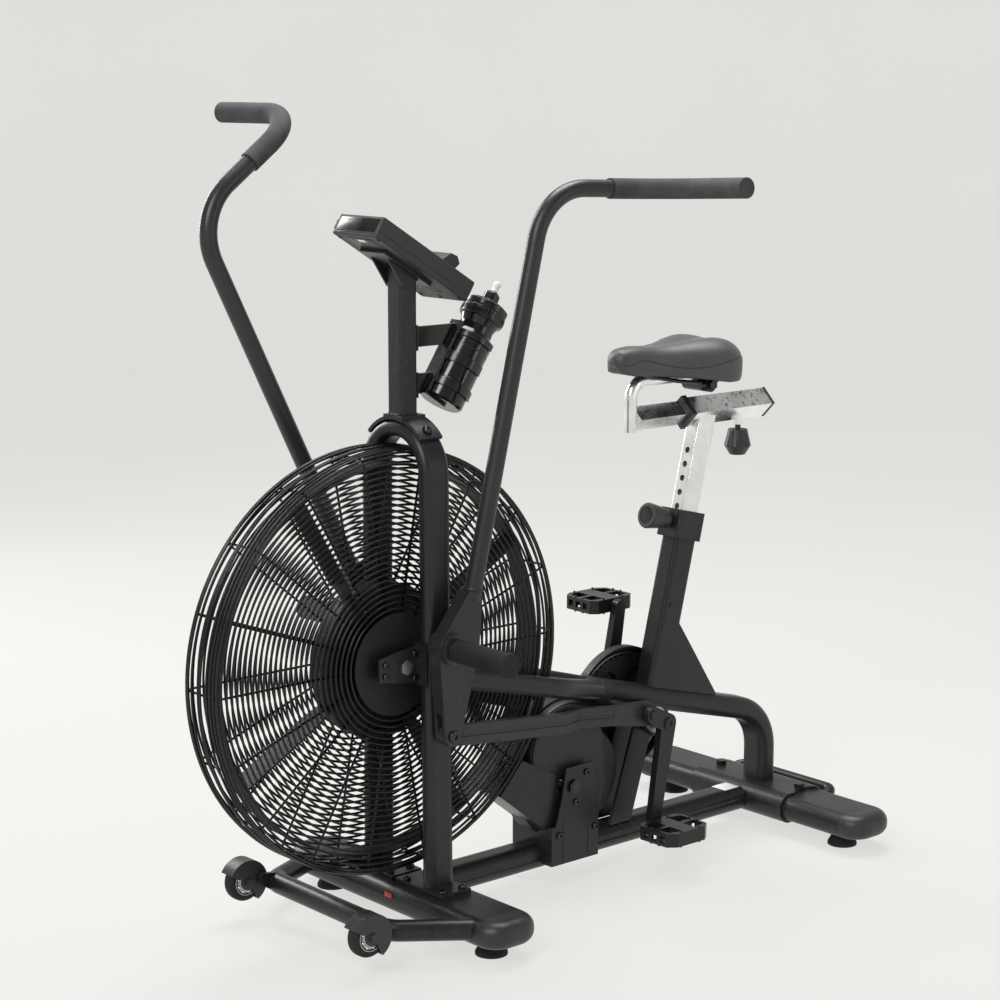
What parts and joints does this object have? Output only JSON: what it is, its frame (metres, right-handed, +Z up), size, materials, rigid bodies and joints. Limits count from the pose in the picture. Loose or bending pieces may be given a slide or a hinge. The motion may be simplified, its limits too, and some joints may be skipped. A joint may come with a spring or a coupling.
{
  "type": "air bike",
  "caption": "Fan-resistance exercise bike with a caged fan, swinging handle arms linked to the cranks, sliding saddle, console and bottle holder.",
  "frame": {"origin": "middle of the footprint box at floor level", "axes": "+X towards the rider's left, +Y towards the saddle end, -Y towards the fan end, +Z up"},
  "size_m": [0.6586, 1.3145, 1.3103],
  "materials": {
    "frame_paint": "satin black powder coat",
    "wire_paint": "gloss black coat on wire",
    "fan_paint": "satin black coat on sheet steel",
    "cover_plastic": "fine-textured black plastic",
    "trim_plastic": "moulded black plastic",
    "gloss_plastic": "gloss black plastic",
    "screen": "grey-green display window",
    "keys": "grey rubber-touch keys",
    "rubber": "matt black rubber",
    "foam": "matt black foam grip",
    "chrome": "polished chrome plate",
    "saddle_vinyl": "matt black grained vinyl",
    "steel": "machined steel",
    "black_bolt": "black oxide steel",
    "chain_steel": "oiled chain steel",
    "pedal_alloy": "black coat with bright worn edges",
    "bottle_plastic": "smoke-grey translucent bottle"
  },
  "bodies": {
    "frame": {"axle_brackets": "frame_paint", "bottle_holder": "gloss_plastic", "bottom_bracket": "frame_paint", "cage_hubs": "fan_paint", "cage_left": "wire_paint", "cage_right": "wire_paint", "carry_handle": "frame_paint", "chain_cover": "cover_plastic", "console_bracket": "frame_paint", "console_housing": "cover_plastic", "console_keys": "keys", "console_post": "frame_paint", "console_screen": "screen", "drive_chains": "chain_steel", "drive_cover": "cover_plastic", "drive_pedestal": "frame_paint", "fan_fork": "frame_paint", "foot_peg_sleeves": "rubber", "foot_pegs": "frame_paint", "foot_studs": "steel", "frame_bolts": "black_bolt", "front_guard": "frame_paint", "front_stabiliser": "frame_paint", "levelling_feet": "rubber", "main_beam": "frame_paint", "post_saddle": "frame_paint", "rear_sleeve": "frame_paint", "rear_stabiliser": "frame_paint", "seat_tube": "frame_paint", "stabiliser_end_caps": "trim_plastic", "transport_frame": "frame_paint", "upper_frame": "frame_paint", "wheel_fenders": "trim_plastic"},
    "wheel_left": {"transport_wheel_left": "rubber"},
    "wheel_right": {"transport_wheel_right": "rubber"},
    "bottle_body": {"bottle": "bottle_plastic", "bottle_lid": "gloss_plastic"},
    "fan": {"fan_rotor": "fan_paint", "fan_axle": "steel"},
    "jackshaft_body": {"jackshaft": "steel"},
    "crank": {"crankset": "frame_paint", "chainring": "fan_paint"},
    "pedal_left_body": {"pedal_left": "pedal_alloy"},
    "pedal_right_body": {"pedal_right": "pedal_alloy"},
    "arm_left": {"handle_left": "frame_paint", "grip_left": "foam", "link_pin_left": "black_bolt"},
    "arm_right": {"handle_right": "frame_paint", "grip_right": "foam", "link_pin_right": "black_bolt"},
    "link_left": {"link_bar_left": "frame_paint"},
    "link_right": {"link_bar_right": "frame_paint"},
    "seat_post_body": {"seat_post": "chrome", "slide_caps": "trim_plastic"},
    "saddle_body": {"seat_carrier": "chrome", "saddle_clamp": "steel", "saddle_pan": "trim_plastic", "saddle_cushion": "saddle_vinyl"},
    "height_knob_body": {"height_knob": "trim_plastic"},
    "slide_knob_body": {"slide_knob": "trim_plastic"}
  },
  "joints": [
    {"name": "fan_spin", "type": "hinge", "parent": "frame", "child": "fan", "pos_m": [0, -0.3158, 0.444], "axis": [1, 0, 0], "continuous": true},
    {"name": "jackshaft_spin", "type": "hinge", "parent": "frame", "child": "jackshaft_body", "pos_m": [0, 0.0582, 0.17], "axis": [1, 0, 0], "continuous": true},
    {"name": "crank_spin", "type": "hinge", "parent": "frame", "child": "crank", "pos_m": [0, 0.2502, 0.252], "axis": [1, 0, 0], "continuous": true},
    {"name": "pedal_left_spin", "type": "hinge", "parent": "crank", "child": "pedal_left_body", "pos_m": [0.12, 0.21978, 0.07662], "axis": [1, 0, 0], "continuous": true},
    {"name": "pedal_right_spin", "type": "hinge", "parent": "crank", "child": "pedal_right_body", "pos_m": [-0.12, 0.28062, 0.42738], "axis": [1, 0, 0], "continuous": true},
    {"name": "handle_left_swing", "type": "hinge", "parent": "frame", "child": "arm_left", "pos_m": [0.112, -0.2668, 0.475], "axis": [1, 0, 0], "range_deg": [0, 38]},
    {"name": "handle_right_swing", "type": "hinge", "parent": "frame", "child": "arm_right", "pos_m": [-0.112, -0.2668, 0.475], "axis": [1, 0, 0], "range_deg": [-38, 0]},
    {"name": "link_left_swing", "type": "hinge", "parent": "arm_left", "child": "link_left", "pos_m": [0.112, -0.26581, 0.33403], "axis": [1, 0, 0], "range_deg": [-34, 0]},
    {"name": "link_right_swing", "type": "hinge", "parent": "arm_right", "child": "link_right", "pos_m": [-0.112, -0.17865, 0.36498], "axis": [1, 0, 0], "range_deg": [0, 38]},
    {"name": "seat_height", "type": "slide", "parent": "frame", "child": "seat_post_body", "axis": [0, 0.2416, 0.9704], "range_m": [-0.1, 0.1]},
    {"name": "seat_fore_aft", "type": "slide", "parent": "seat_post_body", "child": "saddle_body", "axis": [0, 1, 0], "range_m": [-0.04, 0.06]},
    {"name": "height_knob_pull", "type": "slide", "parent": "frame", "child": "height_knob_body", "axis": [0, -0.9704, 0.2416], "range_m": [0, 0.012], "stiffness_N_per_m": 500, "springref_m": -0.01},
    {"name": "slide_knob_turn", "type": "hinge", "parent": "seat_post_body", "child": "slide_knob_body", "pos_m": [0, 0.4962, 0.716], "axis": [0, 0, 1], "range_deg": [-180, 180]},
    {"name": "bottle_lift", "type": "slide", "parent": "frame", "child": "bottle_body", "axis": [0, 0.5573, 0.8303], "range_m": [0, 0.2]},
    {"name": "transport_wheel_left_spin", "type": "hinge", "parent": "frame", "child": "wheel_left", "pos_m": [0.164, -0.4698, 0.069], "axis": [1, 0, 0], "continuous": true},
    {"name": "transport_wheel_right_spin", "type": "hinge", "parent": "frame", "child": "wheel_right", "pos_m": [-0.164, -0.4698, 0.069], "axis": [1, 0, 0], "continuous": true}
  ],
  "couplings": [
    {"joint": "crank_spin", "follows": "fan_spin", "ratio": 0.14583},
    {"joint": "jackshaft_spin", "follows": "fan_spin", "ratio": 0.5},
    {"joint": "handle_right_swing", "follows": "handle_left_swing", "ratio": -1},
    {"joint": "link_left_swing", "follows": "handle_left_swing", "ratio": -0.88},
    {"joint": "link_right_swing", "follows": "handle_left_swing", "ratio": 1}
  ]
}
